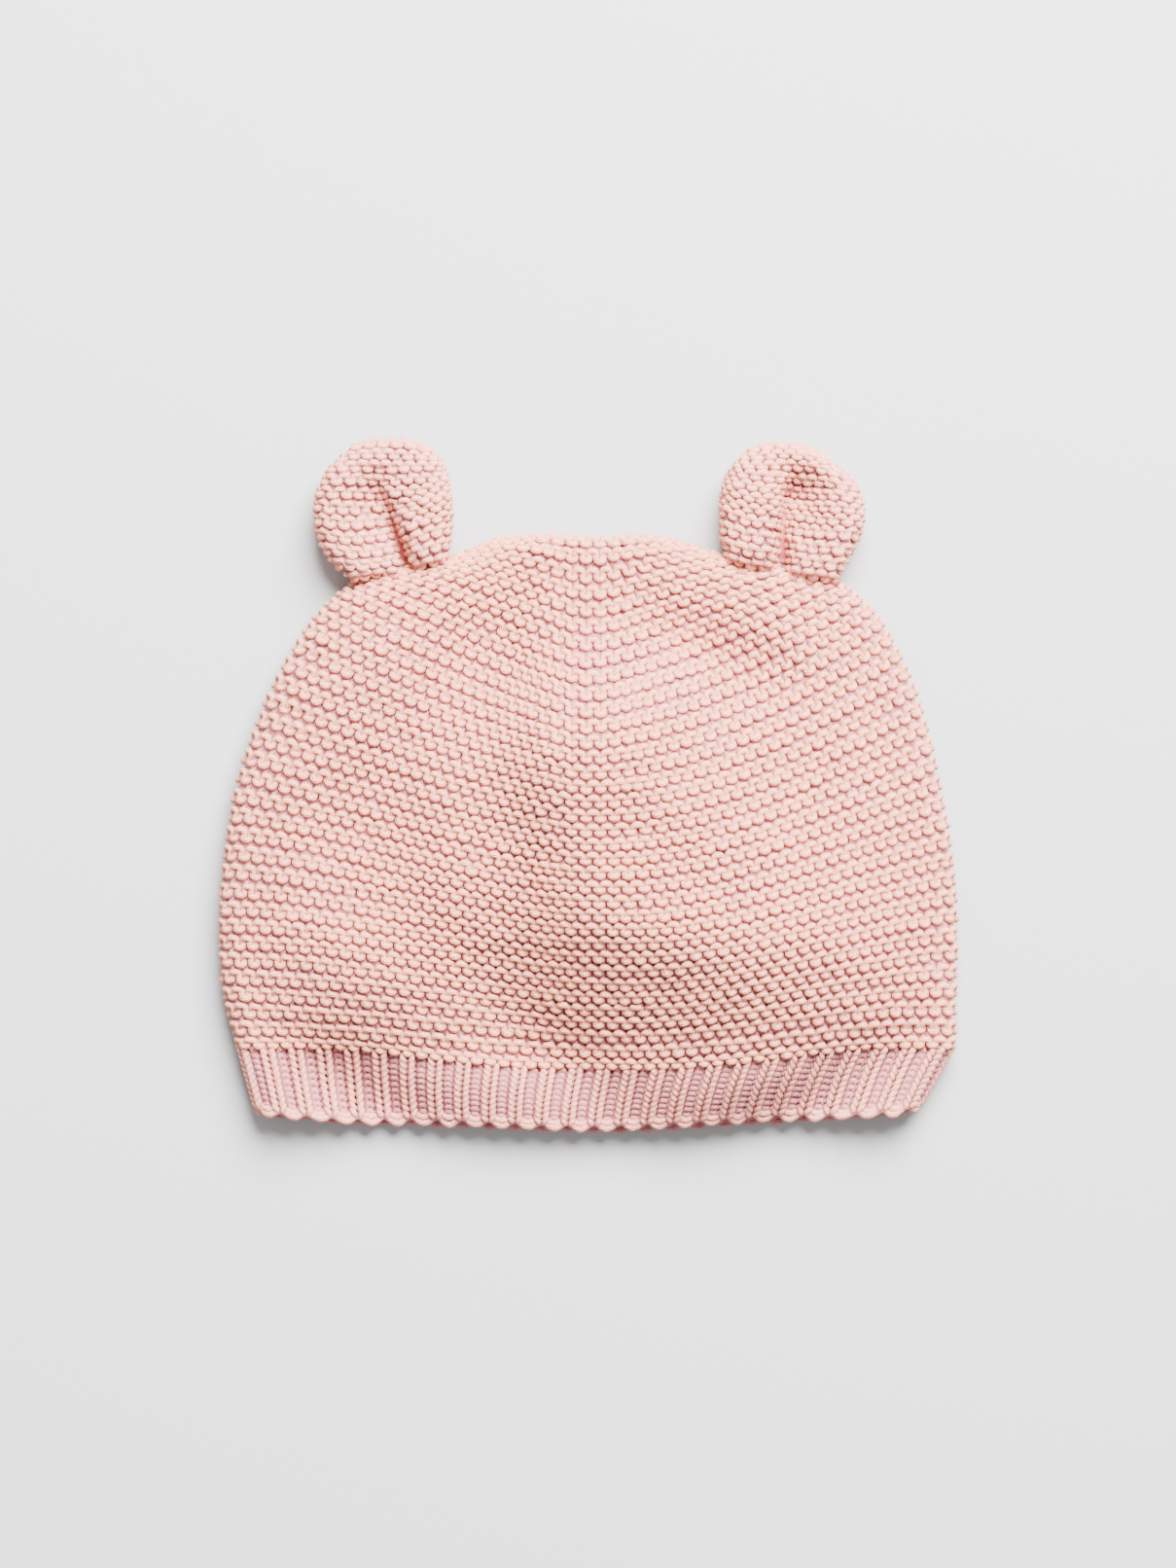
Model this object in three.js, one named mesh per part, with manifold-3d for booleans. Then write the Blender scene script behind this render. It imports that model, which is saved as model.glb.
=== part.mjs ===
// A knitted baby hat with two round ears, lying flat on its back.
// Millimetres. +X runs across the hat, +Y from the brim to the ears, +Z up from the surface it lies on.
// The origin is in the middle of the footprint, on the flat back of the crown.
// The crown and the band are soft hollow shells. Their back lies flat, and their front is puffed up,
// with the soft hollows and swellings of a hat that was laid down by hand.

import * as THREE from 'three';
import { mergeVertices } from 'three/addons/utils/BufferGeometryUtils.js';
import Module from 'manifold-3d';

// Driving sizes, in millimetres.
const hatWidth = 190; // widest width of the hat as it lies
const crownHeight = 137; // from the band up to the fold at the top of the crown
const bandDepth = 16; // the ribbed band, from the crown to its cast-on edge
const earWidth = 36;
const earHeight = 40.5; // with the part of its base that laps over the crown's fold
const earThickness = 15; // through the padded lobes
const earLap = 3; // how far an ear's base laps over the crown's fold
const creaseDepth = 7; // the fold down the middle of each ear, where its base is pinched together
const creaseWidth = 4;
const crownWall = 3.6; // garter stitch is thick
const bandWall = 2.8;
const foldGap = 2.4; // the hollow left inside the soft fold along the sides and the top
const frontPuff = 13; // how far the front stands up above its own fold
const frontShoulder = 30; // how far in from the fold the front has gained most of that height
const brimDrop = 5; // how much lower the front lies at the brim
const brimEase = 24; // the length over which it comes down
const rowTurnWidth = 5; // half the width over which a row turns at the middle of the front
const ribPitch = 6.75; // one raised and one sunk column of the ribbed band
const ribRelief = 0.9; // how deep the sunk columns lie
const scallop = 0.9; // how far the sunk columns hang down past the raised ones
const clearance = 0.3; // between neighbouring pieces

// Fineness of the faceted skins.
const crownRings = 25;
const crownColumns = 64;
const bandRings = 2;
const pointsPerRib = 4;
const earRings = 8;
const earColumns = 38;
const foldSteps = 100;
const rowSteps = 720;

// Shares and powers that shape the skins.
const ringCrowding = 0.86; // how strongly a ring's points crowd towards the folds
const topCrowding = 1.3; // how strongly the crown's rings crowd towards its top fold
const shoulderBells = 1.6; // the front's shoulder, counted in widths of the bell curve that shapes it
const earPlumpness = 2.8; // power of an ear's cushioned section, where 2 is an ellipse
const earHeart = { across: 0, up: 0.48 }; // the fullest place of an ear, as in its outline
const creaseTopShare = 0.45; // share of the crease's depth at its upper end
const creaseBaseShare = 0.5; // share of the crease's width at its base

// Where the ears sit. middle: share of half the width, seat: share of the crown's height,
// width: share of the ear width. The crease runs between two places on the ear, as the outline's.
const earTable = [
  { name: 'ear_left', side: 1, middle: -0.56, seat: 0.906, width: 0.99,
    crease: { topAcross: -0.03, topUp: 0.82, baseAcross: 0.19, baseUp: 0.16 } },
  { name: 'ear_right', side: -1, middle: 0.544, seat: 0.895, width: 1.04,
    crease: { topAcross: -0.1, topUp: 0.8, baseAcross: 0.03, baseUp: 0.2 } },
];

const halfWidth = hatWidth / 2;
const foldRadius = crownWall + foldGap;
const earPeak = earTable[0].seat * crownHeight - earLap + earHeight; // above the band
const footprint = bandDepth + earPeak;
const crownBase = bandDepth - footprint / 2; // where the crown meets the band

// The knitted rows of the crown, evenly spaced from the band to the closing at the top.
// left and right: how far the row reaches, as shares of half the width.
// leftEdge to rightEdge: the row's height at the left fold, half way, a quarter of the way, at the
// middle, and so on to the right fold, as shares of the crown's height.
const rowTable = [
  { left: 0.95, right: 0.993, leftEdge: 0.036, leftHalf: 0.023, leftQuarter: 0.008, middle: 0.0,
    rightQuarter: 0.004, rightHalf: 0.02, rightEdge: 0.036 },
  { left: 0.982, right: 0.998, leftEdge: 0.125, leftHalf: 0.105, leftQuarter: 0.09, middle: 0.072,
    rightQuarter: 0.08, rightHalf: 0.101, rightEdge: 0.13 },
  { left: 0.998, right: 1.0, leftEdge: 0.219, leftHalf: 0.193, leftQuarter: 0.168, middle: 0.145,
    rightQuarter: 0.152, rightHalf: 0.179, rightEdge: 0.235 },
  { left: 0.997, right: 0.995, leftEdge: 0.316, leftHalf: 0.277, leftQuarter: 0.246, middle: 0.221,
    rightQuarter: 0.23, rightHalf: 0.263, rightEdge: 0.339 },
  { left: 0.982, right: 0.976, leftEdge: 0.422, leftHalf: 0.364, leftQuarter: 0.326, middle: 0.3,
    rightQuarter: 0.312, rightHalf: 0.349, rightEdge: 0.445 },
  { left: 0.952, right: 0.948, leftEdge: 0.53, leftHalf: 0.451, leftQuarter: 0.41, middle: 0.379,
    rightQuarter: 0.395, rightHalf: 0.435, rightEdge: 0.554 },
  { left: 0.903, right: 0.912, leftEdge: 0.638, leftHalf: 0.541, leftQuarter: 0.494, middle: 0.457,
    rightQuarter: 0.477, rightHalf: 0.522, rightEdge: 0.66 },
  { left: 0.836, right: 0.857, leftEdge: 0.743, leftHalf: 0.63, leftQuarter: 0.58, middle: 0.537,
    rightQuarter: 0.563, rightHalf: 0.611, rightEdge: 0.762 },
  { left: 0.748, right: 0.779, leftEdge: 0.84, leftHalf: 0.718, leftQuarter: 0.669, middle: 0.623,
    rightQuarter: 0.655, rightHalf: 0.702, rightEdge: 0.852 },
  { left: 0.65, right: 0.683, leftEdge: 0.903, leftHalf: 0.807, leftQuarter: 0.76, middle: 0.714,
    rightQuarter: 0.748, rightHalf: 0.79, rightEdge: 0.91 },
  { left: 0.52, right: 0.545, leftEdge: 0.955, leftHalf: 0.892, leftQuarter: 0.848, middle: 0.808,
    rightQuarter: 0.836, rightHalf: 0.87, rightEdge: 0.957 },
  { left: 0.355, right: 0.36, leftEdge: 0.99, leftHalf: 0.959, leftQuarter: 0.93, middle: 0.903,
    rightQuarter: 0.918, rightHalf: 0.943, rightEdge: 0.99 },
  { left: 0.2, right: 0.19, leftEdge: 1.004, leftHalf: 1.004, leftQuarter: 1.0, middle: 0.996,
    rightQuarter: 0.998, rightHalf: 1.0, rightEdge: 1.0 },
];

// The cast-on edge of the band, below the crown: reaches as shares of half the width, and heights
// as shares of the band's depth, counted up from the edge's lowest place.
const castOnRow = {
  left: 0.901, right: 0.896, leftEdge: 0.27, leftHalf: 0.1, leftQuarter: 0.05, middle: 0.0,
  rightQuarter: 0.04, rightHalf: 0.12, rightEdge: 0.29,
};

// The hollows and swellings of the front. x: share of half the width, y: share of the crown's height,
// along and across: how far it spreads, as shares of half the width, turn: degrees, rise: share of the puff.
const frontForms = [
  { name: 'hollow below the right ear',
    x: 0.29, y: 0.855, along: 0.19, across: 0.065, turn: -30, rise: -0.24 },
  { name: 'swelling under that hollow',
    x: 0.27, y: 0.735, along: 0.2, across: 0.085, turn: -30, rise: 0.16 },
  { name: 'long trough left of the middle',
    x: -0.26, y: 0.55, along: 0.34, across: 0.1, turn: 82, rise: -0.2 },
  { name: 'broad swelling on the lower right',
    x: 0.25, y: 0.36, along: 0.42, across: 0.16, turn: 4, rise: 0.22 },
  { name: 'sag above the band',
    x: 0.05, y: 0.02, along: 0.36, across: 0.09, turn: 0, rise: -0.3 },
  { name: 'crease above the band at the right',
    x: 0.74, y: 0.062, along: 0.2, across: 0.035, turn: 5, rise: -0.15 },
  { name: 'sag at the lower left',
    x: -0.77, y: 0.066, along: 0.15, across: 0.1, turn: -30, rise: -0.18 },
  { name: 'dimple on the left',
    x: -0.586, y: 0.485, along: 0.13, across: 0.05, turn: -57, rise: -0.1 },
  { name: 'dimple near the top',
    x: -0.17, y: 0.9, along: 0.06, across: 0.05, turn: 0, rise: -0.12 },
];

// Outline of an ear from the inner end of its base over the top to the outer end and back along the
// base. across: share of the ear's width, from its middle towards the middle of the hat.
// up: share of the ear's height.
const earOutline = [
  { across: 0.5, up: 0.32 },
  { across: 0.5, up: 0.52 },
  { across: 0.46, up: 0.71 },
  { across: 0.385, up: 0.885 },
  { across: 0.15, up: 0.99 },
  { across: -0.12, up: 0.985 },
  { across: -0.365, up: 0.835 },
  { across: -0.47, up: 0.64 },
  { across: -0.5, up: 0.46 },
  { across: -0.43, up: 0.26 },
  { across: -0.25, up: 0.07 },
  { across: 0.0, up: 0.0 },
  { across: 0.27, up: 0.05 },
  { across: 0.45, up: 0.17 },
];

const lerp = (a, b, t) => a + (b - a) * t;
const clamp01 = (t) => Math.min(1, Math.max(0, t));
const bell = (t) => Math.exp(-0.5 * t * t);

// A smooth curve through four neighbouring values.
function smooth(a, b, c, d, t) {
  const pull = (c - a) * t + (2 * a - 5 * b + 4 * c - d) * t * t + (3 * b - a - 3 * c + d) * t * t * t;
  return b + 0.5 * pull;
}

// The row at a share of the way up the crown, read smoothly from the table.
function crownRow(up) {
  const place = clamp01(up) * (rowTable.length - 1);
  const index = Math.min(rowTable.length - 2, Math.floor(place));
  const near = [-1, 0, 1, 2].map((k) => rowTable[Math.min(rowTable.length - 1, Math.max(0, index + k))]);
  const row = {};
  for (const key of Object.keys(rowTable[0])) {
    row[key] = smooth(...near.map((r) => r[key]), place - index);
  }
  return row;
}

// The cubic through a row's four heights on one side, at a share of the way from middle to fold.
function rowHeight(middle, quarter, half, edge, t) {
  const spots = [0, 0.25, 0.5, 1];
  const heights = [middle, quarter, half, edge];
  let sum = 0;
  spots.forEach((spot, i) => {
    let weight = heights[i];
    spots.forEach((other, j) => {
      if (j !== i) weight *= (t - other) / (spot - other);
    });
    sum += weight;
  });
  return sum;
}

// Plan position on one row: side runs from -1 at the left fold to 1 at the right fold.
function placeOnRow(row, side, base, rise) {
  const reach = (side < 0 ? row.left : row.right) * halfWidth;
  const run = Math.abs(side) * reach;
  const turned = (length) => Math.hypot(length, rowTurnWidth) - rowTurnWidth;
  const t = turned(run) / turned(reach);
  const height = side < 0
    ? rowHeight(row.middle, row.leftQuarter, row.leftHalf, row.leftEdge, t)
    : rowHeight(row.middle, row.rightQuarter, row.rightHalf, row.rightEdge, t);
  return { x: Math.sign(side) * run, y: base + height * rise };
}

// Plan position on the whole hat: up is 0 at the band, 1 at the top and -1 at the cast-on edge.
function planPlace(up, side) {
  const onCrown = placeOnRow(crownRow(up), side, crownBase, crownHeight);
  if (up >= 0) return onCrown;
  const onEdge = placeOnRow(castOnRow, side, crownBase - bandDepth, bandDepth);
  return { x: lerp(onCrown.x, onEdge.x, -up), y: lerp(onCrown.y, onEdge.y, -up) };
}

// The fold that runs round the hat from the left end of the cast-on edge over the top to the right end.
function foldLine() {
  const left = [];
  const top = [];
  const right = [];
  for (let i = 0; i <= foldSteps; i += 1) {
    const share = -1 + (2 * i) / foldSteps;
    left.push(planPlace(share, -1));
    top.push(planPlace(1, share));
    right.unshift(planPlace(share, 1));
  }
  return [...left, ...top, ...right];
}
const fold = foldLine();

// Distance in plan from a place to the fold line.
function insideFold(place) {
  let best = Infinity;
  for (let i = 1; i < fold.length; i += 1) {
    const a = fold[i - 1];
    const b = fold[i];
    const dx = b.x - a.x;
    const dy = b.y - a.y;
    const length2 = dx * dx + dy * dy || 1;
    const t = clamp01(((place.x - a.x) * dx + (place.y - a.y) * dy) / length2);
    best = Math.min(best, Math.hypot(place.x - a.x - t * dx, place.y - a.y - t * dy));
  }
  return best;
}

// The rise of the front above the height of its fold, with its hollows and swellings.
function frontRise(place, inside) {
  const shoulder = 1 - bell((inside / frontShoulder) * shoulderBells);
  const brim = brimDrop * bell((place.y - crownBase + bandDepth) / brimEase);
  let forms = 0;
  for (const form of frontForms) {
    const dx = place.x - form.x * halfWidth;
    const dy = place.y - crownBase - form.y * crownHeight;
    const angle = THREE.MathUtils.degToRad(form.turn);
    const along = (dx * Math.cos(angle) + dy * Math.sin(angle)) / (form.along * halfWidth);
    const across = (dy * Math.cos(angle) - dx * Math.sin(angle)) / (form.across * halfWidth);
    forms += form.rise * bell(Math.hypot(along, across));
  }
  return shoulder * (frontPuff * (1 + forms) - brim);
}

// A point on the outer skin. side runs from -1 to 1 over the front, front is false on the flat back.
function skinPoint(up, side, front) {
  const place = planPlace(up, side);
  const inside = up >= 1 || Math.abs(side) >= 1 ? 0 : insideFold(place);
  const round = Math.sqrt(1 - (1 - clamp01(inside / foldRadius)) ** 2);
  const height = front
    ? foldRadius * (1 + round) + frontRise(place, inside)
    : foldRadius * (1 - round);
  return new THREE.Vector3(place.x, place.y, height);
}

// A point round the hat: turn runs from 0 at the left fold over the front to 0.5 at the right fold,
// and back under the hat to 1. The points crowd towards the folds, where the skin bends most.
function ringPoint(up, turn) {
  const wrapped = turn - Math.floor(turn);
  const front = wrapped < 0.5;
  const across = front ? 4 * wrapped - 1 : 3 - 4 * wrapped;
  const quarter = (Math.PI / 2) * ringCrowding;
  const side = THREE.MathUtils.clamp(Math.sin(across * quarter) / Math.sin(quarter), -1, 1);
  return skinPoint(up, side, front);
}

// The point of a ring that lies opposite, on the other side of the flat hat.
const opposite = (i, count) => (count - i) % count;

// Outward directions of a closed grid of rings.
function outwardOf(rings) {
  const count = rings[0].length;
  return rings.map((ring, k) => ring.map((point, i) => {
    const above = rings[Math.min(rings.length - 1, k + 1)][i];
    const below = rings[Math.max(0, k - 1)][i];
    const upward = above.clone().sub(below);
    const onward = ring[(i + 1) % count].clone().sub(ring[(i + count - 1) % count]);
    return onward.cross(upward).normalize();
  }));
}

// Turns a ring's outward directions square to the length of the hat, so that its end face is too.
function squareEnd(outward) {
  outward.forEach((direction) => direction.setY(0).normalize());
}

// Moves every point of a grid along its outward direction.
function shifted(rings, outward, distance) {
  return rings.map((ring, k) => ring.map((point, i) => {
    const step = typeof distance === 'function' ? distance(k, i) : distance;
    return point.clone().addScaledVector(outward[k][i], step);
  }));
}

// Collects triangles from grids of points and makes one geometry of them.
class Skin {
  constructor() {
    this.corners = [];
  }

  triangle(a, b, c) {
    if (a === b || b === c || c === a) return;
    for (const point of [a, b, c]) this.corners.push(point.x, point.y, point.z);
  }

  quad(a, b, c, d) {
    this.triangle(a, b, c);
    this.triangle(a, c, d);
  }

  // A tube of rings; inward turns its faces round.
  tube(rings, inward) {
    for (let k = 1; k < rings.length; k += 1) this.join(rings[k - 1], rings[k], inward);
  }

  join(lower, upper, inward) {
    lower.forEach((point, i) => {
      const j = (i + 1) % lower.length;
      if (inward) this.quad(point, upper[i], upper[j], lower[j]);
      else this.quad(point, lower[j], upper[j], upper[i]);
    });
  }

  // Closes an end ring by joining its front to its back, pair by pair.
  zip(ring) {
    const count = ring.length;
    for (let i = 0; i < count / 2; i += 1) {
      this.quad(ring[i], ring[opposite(i, count)], ring[opposite(i + 1, count)], ring[i + 1]);
    }
  }

  geometry() {
    const made = new THREE.BufferGeometry();
    made.setAttribute('position', new THREE.Float32BufferAttribute(this.corners, 3));
    return made;
  }
}

const wasm = await Module();
wasm.setup();

function solidOf(geometry) {
  const merged = mergeVertices(geometry, 1e-4);
  return new wasm.Manifold(new wasm.Mesh({
    numProp: 3,
    vertProperties: merged.attributes.position.array,
    triVerts: new Uint32Array(merged.index.array),
  }));
}

function geometryOf(solid) {
  const mesh = solid.getMesh();
  const made = new THREE.BufferGeometry();
  made.setAttribute('position', new THREE.Float32BufferAttribute(mesh.vertProperties, 3));
  made.setIndex(new THREE.Uint32BufferAttribute(mesh.triVerts, 1));
  return made;
}

// The crown's outer skin: rings from the band to the closing, closer together towards the top fold.
function crownSkin() {
  const rings = [];
  for (let k = 0; k <= crownRings; k += 1) {
    const up = 1 - (1 - k / crownRings) ** topCrowding;
    rings.push(Array.from({ length: crownColumns }, (_, i) => ringPoint(up, i / crownColumns)));
  }
  return rings;
}
const crownOuter = crownSkin();
const crownOutward = outwardOf(crownOuter);
squareEnd(crownOutward[0]);
// The last ring is closed flat, so its front and back points meet and face the same way.
crownOutward[crownRings].forEach((outward, i, ring) => {
  const other = ring[opposite(i, ring.length)];
  outward.add(other).normalize();
  other.copy(outward);
});

// The crown: an outer and an inner skin, joined round the open brim.
function crownGeometry() {
  const inner = shifted(crownOuter, crownOutward, -crownWall);
  const skin = new Skin();
  skin.tube(crownOuter, false);
  skin.tube(inner, true);
  skin.join(inner[0], crownOuter[0], false);
  return skin.geometry();
}

// The room that the crown and its hollow take up, with the clearance round it.
function crownRoom() {
  const grown = shifted(crownOuter, crownOutward, clearance);
  const skin = new Skin();
  skin.tube(grown, false);
  skin.zip(grown[0]);
  return solidOf(skin.geometry());
}

// Places round the hat that lie evenly spaced along the row where the band starts.
function evenTurns(pointsPerPitch, pitch) {
  const lengths = [0];
  for (let i = 1; i <= rowSteps; i += 1) {
    const step = ringPoint(0, i / rowSteps).distanceTo(ringPoint(0, (i - 1) / rowSteps));
    lengths.push(lengths[i - 1] + step);
  }
  const count = Math.round(lengths[rowSteps] / pitch) * pointsPerPitch;
  let step = 0;
  return Array.from({ length: count }, (_, i) => {
    const wanted = (lengths[rowSteps] * i) / count;
    while (lengths[step + 1] < wanted) step += 1;
    return (step + (wanted - lengths[step]) / (lengths[step + 1] - lengths[step])) / rowSteps;
  });
}

// The ribbed band: a ring of raised and sunk columns, whose sunk columns end in small scallops.
function bandGeometry() {
  const turns = evenTurns(pointsPerRib, ribPitch);
  const sunk = (i) => 0.5 - 0.5 * Math.cos((2 * Math.PI * i) / pointsPerRib);
  const start = -clearance / bandDepth;
  const rings = [];
  for (let k = 0; k <= bandRings; k += 1) {
    const share = k / bandRings;
    rings.push(turns.map((turn, i) => {
      const end = -1 + (scallop / bandDepth) * (1 - sunk(i));
      return ringPoint(lerp(end, start, share), turn);
    }));
  }
  const outward = outwardOf(rings);
  squareEnd(outward[0]);
  squareEnd(outward[bandRings]);
  const outer = shifted(rings, outward, (k, i) => -ribRelief * sunk(i));
  const inner = shifted(rings, outward, (k, i) => -ribRelief * sunk(i) - bandWall);
  const skin = new Skin();
  skin.tube(outer, false);
  skin.tube(inner, true);
  skin.join(inner[0], outer[0], false);
  skin.join(outer[bandRings], inner[bandRings], false);
  return skin.geometry();
}

// An ear's outline as a smooth closed curve.
function earRim(count) {
  const size = earOutline.length;
  return Array.from({ length: count }, (_, i) => {
    const place = (i / count) * size;
    const index = Math.floor(place);
    const near = [-1, 0, 1, 2].map((k) => earOutline[(index + k + size) % size]);
    return {
      across: smooth(...near.map((spot) => spot.across), place - index),
      up: smooth(...near.map((spot) => spot.up), place - index),
    };
  });
}

// How deep the crease of an ear is at a place: a shallow cup near the top, a tight fold at the base.
function creaseAt(crease, across, up) {
  const runAcross = (crease.baseAcross - crease.topAcross) * earWidth;
  const runUp = (crease.baseUp - crease.topUp) * earHeight;
  const dx = (across - crease.topAcross) * earWidth;
  const dy = (up - crease.topUp) * earHeight;
  const t = clamp01((dx * runAcross + dy * runUp) / (runAcross ** 2 + runUp ** 2));
  const off = Math.hypot(dx - t * runAcross, dy - t * runUp);
  const depth = creaseDepth * lerp(creaseTopShare, 1, t);
  return depth * bell(off / (creaseWidth * lerp(1, creaseBaseShare, t)));
}

// A padded ear: two cushioned skins that meet at its rim, seated against the crown.
function earGeometry(ear, room) {
  const rim = earRim(earColumns);
  const base = crownBase + ear.seat * crownHeight - earLap;
  const point = (spot, top) => {
    const across = lerp(earHeart.across, rim[spot.column].across, spot.out);
    const up = lerp(earHeart.up, rim[spot.column].up, spot.out);
    const plump = (1 - spot.out ** earPlumpness) ** (1 / earPlumpness);
    const half = earThickness / 2;
    const height = top
      ? half * (1 + plump) - plump * creaseAt(ear.crease, across, up)
      : half * (1 - plump);
    return new THREE.Vector3(
      ear.middle * halfWidth + ear.side * across * earWidth * ear.width,
      base + up * earHeight,
      height,
    );
  };
  const skinOf = (top) => Array.from({ length: earRings + 1 }, (_, k) => {
    const out = Math.cos((Math.PI / 2) * (k / earRings));
    return Array.from({ length: earColumns }, (_unused, column) => point({ column, out }, top));
  });
  const skin = new Skin();
  const mirrored = ear.side < 0;
  skin.tube(skinOf(true), mirrored);
  skin.tube(skinOf(false), !mirrored);
  return geometryOf(solidOf(skin.geometry()).subtract(room));
}

const knit = (color) => new THREE.MeshStandardMaterial({ color, roughness: 0.95, metalness: 0 });

function piece(name, geometry, material) {
  const mesh = new THREE.Mesh(geometry, material);
  mesh.name = name;
  return mesh;
}

const hat = new THREE.Group();
const garterKnit = knit(0xf0d3cf);
const room = crownRoom();
hat.add(piece('crown', crownGeometry(), garterKnit));
hat.add(piece('rib_band', bandGeometry(), knit(0xf2d2cf)));
for (const ear of earTable) hat.add(piece(ear.name, earGeometry(ear, room), garterKnit));

export default hat;
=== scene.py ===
"""A pale pink knitted baby hat with round ears, lying flat on its back, seen from straight above.

Every stitch is a real loop of yarn. A pouch is a flat knitted tube that closes at its far end: the
crown is one, and so is each ear. Rounds of knitting run round it, and each round is one closed yarn
whose loops pass from the front of the cloth to its back and interlock with the rounds above and below.
Lengths are in millimetres until a mesh is made, which is in metres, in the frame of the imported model.
"""

import logging
import math
from dataclasses import dataclass, field
from enum import Enum

import bpy
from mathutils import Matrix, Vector
import numpy as np


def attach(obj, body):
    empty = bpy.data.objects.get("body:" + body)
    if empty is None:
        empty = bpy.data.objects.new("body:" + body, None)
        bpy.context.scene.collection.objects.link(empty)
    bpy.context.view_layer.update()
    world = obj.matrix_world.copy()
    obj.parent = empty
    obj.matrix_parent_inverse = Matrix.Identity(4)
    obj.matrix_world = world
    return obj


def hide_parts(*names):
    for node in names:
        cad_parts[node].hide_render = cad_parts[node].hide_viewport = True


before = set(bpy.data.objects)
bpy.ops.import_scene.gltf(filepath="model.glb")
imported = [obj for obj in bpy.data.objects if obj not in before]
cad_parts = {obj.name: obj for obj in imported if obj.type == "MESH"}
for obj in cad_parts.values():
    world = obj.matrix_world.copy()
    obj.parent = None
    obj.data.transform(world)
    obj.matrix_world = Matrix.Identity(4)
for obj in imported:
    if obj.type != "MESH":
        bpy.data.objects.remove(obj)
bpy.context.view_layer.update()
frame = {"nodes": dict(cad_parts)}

MM = 0.001
LOG = logging.getLogger("hat")
SEED = 7

# Points along each fold, along the closing and along each end of the band, on the line that distances from a
# pouch's border are measured to.
FOLD_POINTS = 100
CLOSING_POINTS = 60
BAND_END_POINTS = 12
# Where an end of the band starts and ends on that line, up the pouch.
BAND_END = (-1.1, -0.05)
# How closely the points of a skin crowd towards its folds, from 0 for evenly spaced ones to 1.
FOLD_CROWDING = 0.86
# Places that are nearer than this are the same.
SAME_PLACE = 0.01
# Added to a length before it divides, as it may be nothing.
TINY = 1e-12
# How far short of its last ring a cloth is read, in rings.
SHORT_OF_LAST = 0.001

# Rows of the crown, evenly spaced from the band to the closing at the top. Columns: how far the row
# reaches to the left and right fold, as shares of half the width, then its height at the left fold, half
# way in, a quarter of the way, at the middle, and so on to the right fold, as shares of the crown's height.
# The first twelve rows were traced in the photo by a program and then changed a little, the upper
# ones the most. The last row was listed.
CROWN_ROWS = (
    (0.95, 0.993, 0.036, 0.023, 0.008, 0.0, 0.004, 0.02, 0.036),
    (0.982, 0.998, 0.125, 0.105, 0.09, 0.072, 0.08, 0.101, 0.13),
    (0.998, 1.0, 0.219, 0.193, 0.168, 0.145, 0.152, 0.179, 0.235),
    (0.997, 0.995, 0.316, 0.277, 0.246, 0.221, 0.23, 0.263, 0.339),
    (0.982, 0.976, 0.422, 0.364, 0.326, 0.3, 0.312, 0.349, 0.445),
    (0.952, 0.948, 0.53, 0.451, 0.41, 0.379, 0.395, 0.435, 0.554),
    (0.903, 0.912, 0.638, 0.541, 0.494, 0.457, 0.477, 0.522, 0.66),
    (0.836, 0.857, 0.743, 0.63, 0.58, 0.537, 0.563, 0.611, 0.762),
    (0.748, 0.779, 0.84, 0.718, 0.669, 0.623, 0.655, 0.702, 0.852),
    (0.65, 0.683, 0.903, 0.807, 0.76, 0.714, 0.748, 0.79, 0.91),
    (0.53, 0.55, 0.935, 0.885, 0.848, 0.808, 0.836, 0.868, 0.935),
    (0.395, 0.395, 0.955, 0.945, 0.926, 0.903, 0.918, 0.936, 0.955),
    (0.25, 0.24, 0.992, 1.0, 1.0, 0.996, 0.998, 0.998, 0.991),
)
# The cast-on edge of the band in the same columns, its heights as shares of the band's depth.
CAST_ON_ROW = (0.901, 0.896, 0.27, 0.1, 0.05, 0.0, 0.04, 0.12, 0.29)

# Rows of the two ears from the sewn base to the closed tip, as they lie: for each row the places, in
# millimetres across and up, of its outer end, the middle of the outer lobe, the crease, the middle of the
# inner lobe and its inner end. They sink to the crease at the base and follow the rim at the tip.
LEFT_EAR_ROWS = (
    ((-59.6, 50.9), (-52.9, 52.1), (-46.4, 53.1), (-40.9, 54.1), (-36.2, 56.1)),
    ((-66.6, 57.4), (-58.1, 56.6), (-48.2, 58.6), (-41.4, 61.0), (-34.9, 62.8)),
    ((-69.6, 64.4), (-60.6, 63.1), (-50.6, 64.6), (-42.6, 67.4), (-34.6, 68.9)),
    ((-70.1, 71.1), (-61.6, 70.4), (-52.1, 70.9), (-43.1, 72.1), (-34.9, 73.6)),
    ((-68.4, 77.4), (-61.6, 76.9), (-52.9, 76.6), (-43.6, 77.1), (-35.6, 78.1)),
    ((-65.1, 82.4), (-59.9, 83.1), (-52.6, 82.9), (-44.1, 82.9), (-37.6, 82.9)),
    ((-59.6, 86.9), (-55.1, 88.1), (-50.1, 88.6), (-44.6, 87.9), (-40.4, 85.6)),
)
RIGHT_EAR_ROWS = (
    ((63.4, 50.6), (55.9, 51.6), (48.9, 53.1), (40.9, 54.1), (35.2, 56.1)),
    ((66.9, 57.1), (57.9, 58.0), (49.1, 59.6), (40.9, 60.6), (33.6, 63.0)),
    ((69.9, 63.9), (59.6, 64.9), (49.6, 66.6), (40.9, 67.6), (33.4, 70.6)),
    ((70.9, 69.6), (60.6, 70.6), (50.6, 71.9), (41.4, 72.9), (34.1, 75.4)),
    ((69.4, 75.1), (60.4, 76.4), (50.9, 77.4), (42.4, 78.1), (35.6, 79.6)),
    ((65.4, 80.1), (58.4, 82.4), (50.4, 83.1), (43.6, 82.9), (38.1, 82.9)),
    ((60.4, 84.6), (55.4, 86.6), (49.6, 87.6), (45.1, 87.1), (41.4, 85.9)),
)
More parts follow.
